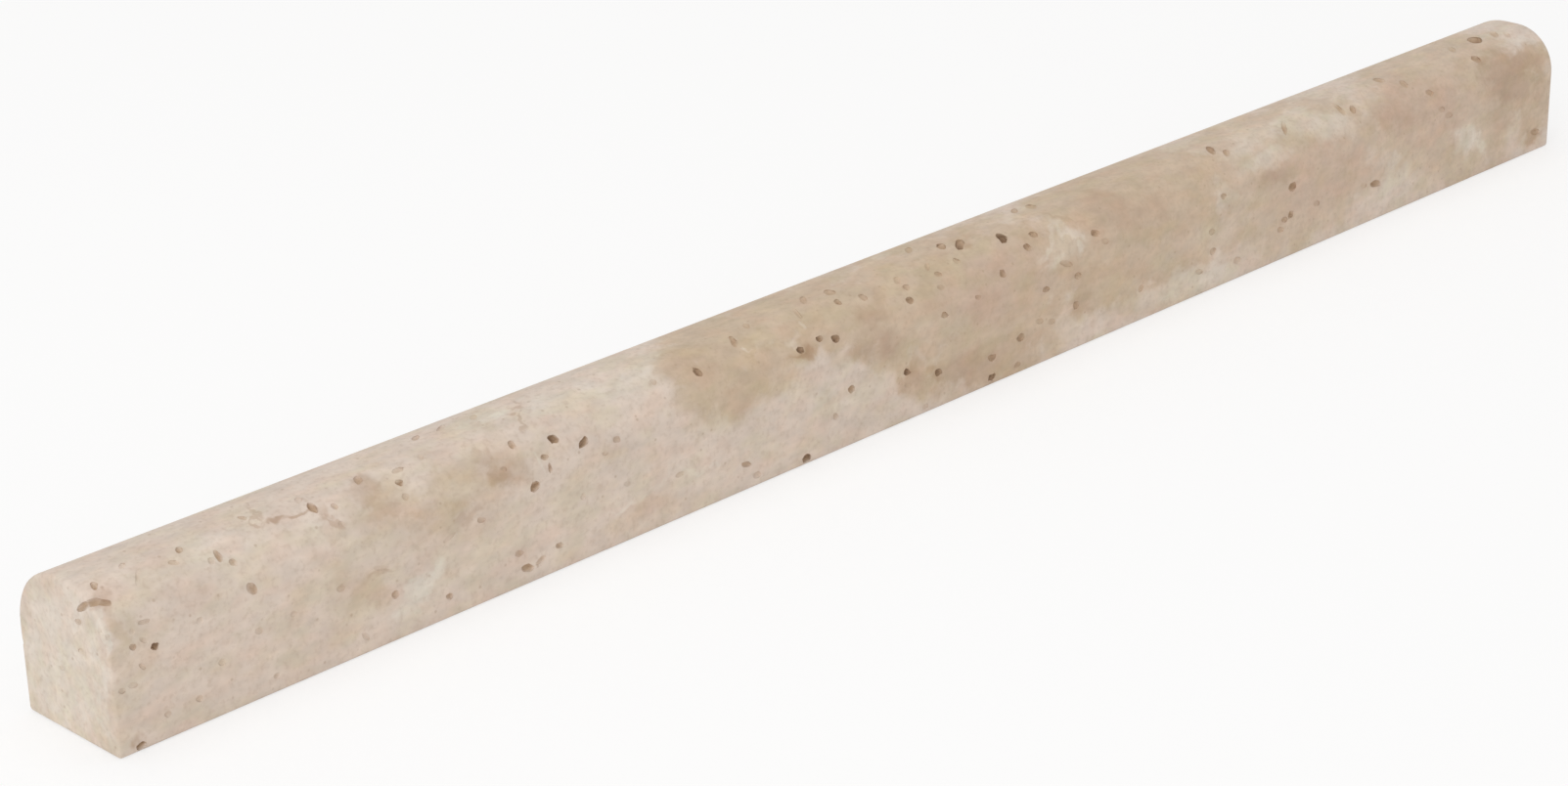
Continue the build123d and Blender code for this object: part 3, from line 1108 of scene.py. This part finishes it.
        # Each row names a value and says how it comes from those above it. The first stations go
        # round the arris as a quarter circle, and the rest share what is left
        rows = (
            ("body", "DIVIDE", "Length", "Mesh Step"),
            ("count", "FLOOR", "body"),
            ("last", "SUBTRACT", "count", 1.0),
            ("to end", "SUBTRACT", "last", "index"),
            ("nearer", "MINIMUM", "index", "to end"),
            ("turned", "MULTIPLY", "nearer", quarter / self.arris_steps),
            ("angle", "MINIMUM", "turned", quarter),
            ("cosine", "COSINE", "angle"),
            ("sine", "SINE", "angle"),
            ("past arris", "SUBTRACT", "nearer", round_arris),
            ("beyond", "MAXIMUM", "past arris", 0.0),
            ("half", "MULTIPLY", "Length", 0.5),
            ("straight", "SUBTRACT", "half", "Arris"),
            ("steps", "MULTIPLY_ADD", "last", 0.5, -round_arris),
            ("step", "DIVIDE", "straight", "steps"),
            ("inner", "MULTIPLY", "beyond", "step"),
            ("outer", "MULTIPLY_ADD", "cosine", "Arris", "straight"),
            ("reach", "SUBTRACT", "outer", "inner"),
            ("before", "LESS_THAN", "index", "to end"),
            ("side", "MULTIPLY_ADD", "before", -2.0, 1.0),
            ("station", "MULTIPLY", "reach", "side"),
            ("middle", "MULTIPLY", "Height", 0.5),
            ("lost", "SUBTRACT", 1.0, "sine"),
            ("arris share", "DIVIDE", "Arris", "Width"),
            ("share", "MULTIPLY", "arris share", -2.0),
            ("draw in", "MULTIPLY_ADD", "lost", "share", 1.0),
        )
        for name, operation, *terms in rows:
            inputs = {number: values.get(term, term) for number, term in enumerate(terms)}
            values[name] = add_node(tree, "ShaderNodeMath", inputs, operation=operation)
        line = add_node(tree, "GeometryNodeMeshLine", {"Count": values["count"]})
        place = add_node(tree, "ShaderNodeCombineXYZ", {"X": values["station"], "Z": values["middle"]})
        line = add_node(tree, "GeometryNodeSetPosition", {"Geometry": line, "Position": place})
        path = add_node(tree, "GeometryNodeMeshToCurve", {"Mesh": line})
        path = add_node(tree, "GeometryNodeSetCurveNormal", {"Curve": path}, mode="Z_UP")
        return path, values["draw in"]

    def _marked(self) -> list[VoidLot]:
        """Part the marked voids into two lots, so that no two of one lot run into each other.

        Returns:
            For each lot, the points, and each one's turn and reach.
        """
        late, turn, reach = [
            add_node(self.tree, "GeometryNodeInputNamedAttribute", {"Name": name}, data_type=kind)
            for name, kind in (
                (LATE_ATTRIBUTE, "BOOLEAN"),
                (TURN_ATTRIBUTE, "FLOAT_VECTOR"),
                (REACH_ATTRIBUTE, "FLOAT_VECTOR"),
            )
        ]
        lots = add_node(
            self.tree,
            "GeometryNodeSeparateGeometry",
            {"Geometry": self.given["Geometry"], "Selection": late},
            domain="POINT",
        ).node.outputs
        return [(lots["Inverted"], turn, reach), (lots["Selection"], turn, reach)]

    def _scatter(self, whole: NodeSocket) -> VoidLot:
        """Scatter voids on the faces that the photograph doesn't show.

        Args:
            whole: the bar before its voids.

        Returns:
            The points, and each one's turn and reach.
        """
        tree, given = self.tree, self.given
        normal = add_node(tree, "GeometryNodeInputNormal")
        toward = -self.camera.sight(self.camera.picture_width / 2, self.camera.picture_height / 2)
        facing = add_node(
            tree, "ShaderNodeVectorMath", {0: normal, 1: toward}, "Value", operation="DOT_PRODUCT"
        )
        unseen = add_node(
            tree, "FunctionNodeCompare", {0: facing, 1: self.unseen_facing}, operation="LESS_THAN"
        )
        spread = add_node(
            tree,
            "GeometryNodeDistributePointsOnFaces",
            {
                "Mesh": whole,
                "Selection": unseen,
                "Distance Min": given["Void Spacing"],
                "Density Max": given["Void Density"],
                "Seed": given["Void Seed"],
            },
            distribute_method="POISSON",
        ).node.outputs
        marked = add_node(
            tree, "GeometryNodeProximity", {0: given["Geometry"]}, "Distance", target_element="POINTS"
        )
        taken = add_node(
            tree, "FunctionNodeCompare", {0: marked, 1: given["Void Spacing"]}, operation="LESS_THAN"
        )
        points = add_node(
            tree, "GeometryNodeDeleteGeometry", {"Geometry": spread["Points"], "Selection": taken}
        )
        draws = []
        ranges = ((0.0, 1.0), self.void_stretch, self.void_depth, (0.0, math.tau))
        for number, (least, most) in enumerate(ranges):
            inputs = {0: given["Void Seed"], 1: float(number)}
            seed = add_node(tree, "ShaderNodeMath", inputs, operation="ADD")
            inputs = {2: least, 3: most, "Seed": seed}
            draws.append(add_node(tree, "FunctionNodeRandomValue", inputs, 1, data_type="FLOAT"))
        share, stretch, depth, spin = draws
        rarely = add_node(tree, "ShaderNodeMath", {0: share, 1: self.void_rarity}, operation="POWER")
        least, most = self.void_half
        half = add_node(
            tree, "ShaderNodeMapRange", {"Value": rarely, "To Min": least * MM, "To Max": most * MM}
        )
        long, deep = [
            add_node(tree, "ShaderNodeMath", {0: half, 1: times}, operation="MULTIPLY")
            for times in (stretch, depth)
        ]
        reach = add_node(tree, "ShaderNodeCombineXYZ", {"X": long, "Y": half, "Z": deep})
        spun = add_node(tree, "ShaderNodeCombineXYZ", {"Z": spin})
        turn = add_node(
            tree, "FunctionNodeRotateRotation", {0: spread["Rotation"], 1: spun}, rotation_space="LOCAL"
        )
        return points, turn, reach

    def _voids(self, points: NodeSocket, turn: NodeSocket, reach: NodeSocket) -> NodeSocket:
        """Shape the solids that cut one lot of voids.

        Args:
            points: the middles of the voids' mouths.
            turn: each one's turn.
            reach: each one's half length, half width and depth.

        Returns:
            One mesh with a closed, rugged shape for each void.
        """
        tree = self.tree
        # A ball whose middle lies below the face, so that the void widens under its mouth
        ball = add_node(tree, "GeometryNodeMeshIcoSphere", {"Radius": 1.0, "Subdivisions": 2})
        sunk = (0.0, 0.0, -self.void_sink)
        ball = add_node(tree, "GeometryNodeTransform", {"Geometry": ball, "Translation": sunk})
        parts = add_node(tree, "ShaderNodeSeparateXYZ", {0: reach}).node.outputs
        least = add_node(tree, "ShaderNodeMath", {0: parts["Y"], 1: parts["Z"]}, operation="MINIMUM")
        sized = add_node(
            tree,
            "GeometryNodeStoreNamedAttribute",
            {"Geometry": points, "Name": SIZE_ATTRIBUTE, "Value": least},
            data_type="FLOAT",
            domain="POINT",
        )
        balls = add_node(
            tree,
            "GeometryNodeInstanceOnPoints",
            {"Points": sized, "Instance": ball, "Rotation": turn, "Scale": reach},
        )
        solids = add_node(tree, "GeometryNodeRealizeInstances", {"Geometry": balls})
        size = add_node(tree, "GeometryNodeInputNamedAttribute", {"Name": SIZE_ATTRIBUTE}, data_type="FLOAT")
        noise = add_node(
            tree, "ShaderNodeTexNoise", {"Scale": per_metre(self.void_wander_size), "Detail": 1.0}, "Color"
        )
        centred = add_node(tree, "ShaderNodeVectorMath", {0: noise, 1: NOISE_MIDDLE}, operation="SUBTRACT")
        wander = add_node(
            tree, "ShaderNodeMath", {0: size, 1: self.given["Void Ruggedness"]}, operation="MULTIPLY"
        )
        offset = add_node(tree, "ShaderNodeVectorMath", {0: centred, "Scale": wander}, operation="SCALE")
        return add_node(tree, "GeometryNodeSetPosition", {"Geometry": solids, "Offset": offset})

    def _smooth(self, cut: NodeSocket) -> NodeSocket:
        """Shade the bar smooth, with crisp mouths to its voids and flat sawn ends.

        Args:
            cut: the bar with its voids.

        Returns:
            The shaded bar.
        """
        tree = self.tree
        bend = add_node(tree, "GeometryNodeInputMeshEdgeAngle", output="Unsigned Angle")
        normal = add_node(tree, "GeometryNodeInputNormal")
        along = add_node(
            tree, "ShaderNodeVectorMath", {0: normal, 1: (1.0, 0.0, 0.0)}, "Value", operation="DOT_PRODUCT"
        )
        square = add_node(tree, "ShaderNodeMath", {0: along}, operation="ABSOLUTE")
        limits = ((bend, math.radians(self.crisp_angle), "EDGE"), (square, self.sawn_end_share, "FACE"))
        for value, limit, domain in limits:
            crisp = add_node(tree, "FunctionNodeCompare", {0: value, 1: limit}, operation="GREATER_THAN")
            inputs = {"Geometry": cut, "Selection": crisp, "Shade Smooth": False}
            cut = add_node(tree, "GeometryNodeSetShadeSmooth", inputs, domain=domain)
        return cut


@dataclass(frozen=True)
class SoftLamp:
    """A square soft box that faces the bar."""

    name: str
    watts: float
    size: float
    place: tuple[float, float, float]

    def build(self) -> None:
        """Hang the lamp and turn it to the bar."""
        data = bpy.data.lights.new(self.name, "AREA")
        data.energy = self.watts
        data.size = self.size * MM
        lamp = bpy.data.objects.new(self.name, data)
        lamp.location = Vector(self.place) * MM
        lamp.rotation_euler = (-lamp.location).to_track_quat("-Z", "Y").to_euler()
        bpy.context.scene.collection.objects.link(lamp)


@dataclass(frozen=True)
class Studio:
    """The plain studio: a pale floor, even light all round, a soft key at the left and a soft box above."""

    floor_half: float = 3000.0
    floor_drop: float = 0.05  # keeps the floor clear of the bedding face
    ambient: float = 0.765
    key: SoftLamp = SoftLamp("key_soft_box", 11.9, 1300.0, (-1420.0, -840.0, 900.0))
    top: SoftLamp = SoftLamp("top_soft_box", 5.3, 1100.0, (-100.0, 150.0, 1500.0))

    def build(self) -> None:
        """Make the floor, the lamps and the world."""
        self._floor()
        self.key.build()
        self.top.build()
        self._world()
        bpy.context.scene.view_settings.view_transform = "Standard"

    def _floor(self) -> None:
        """Lay the floor just under the bar."""
        half = self.floor_half * MM
        drop = -self.floor_drop * MM
        corners = [(-half, -half, drop), (half, -half, drop), (half, half, drop), (-half, half, drop)]
        mesh = bpy.data.meshes.new("studio_floor")
        mesh.from_pydata(corners, [], [(0, 1, 2, 3)])
        mesh.materials.append(PaleFloorPaint().build())
        floor = bpy.data.objects.new("studio_floor", mesh)
        bpy.context.scene.collection.objects.link(floor)

    def _world(self) -> None:
        """Light the studio evenly, and show it white."""
        world = bpy.data.worlds.new("studio")
        bpy.context.scene.world = world
        tree = empty_tree(world)
        level = add_node(tree, "ShaderNodeMix", {0: seen_directly(tree), 2: self.ambient, 3: 1.0})
        light = add_node(tree, "ShaderNodeBackground", {"Strength": level})
        add_node(tree, "ShaderNodeOutputWorld", {"Surface": light})


def main() -> None:
    """Build the camera, the bar of stone and the studio, and log the bar's faces and marked voids."""
    logging.basicConfig(level=logging.INFO, format="%(name)s: %(message)s")
    camera = PhotoCamera()
    camera.build()
    bar = Moulding(camera, HonedTravertine()).build()
    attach(bar, "root")
    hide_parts(NODE)
    LOG.info("%s: %d faces, %d voids marked", bar.name, len(bar.data.polygons), len(VOIDS))
    Studio().build()


if __name__ == "__main__":
    main()
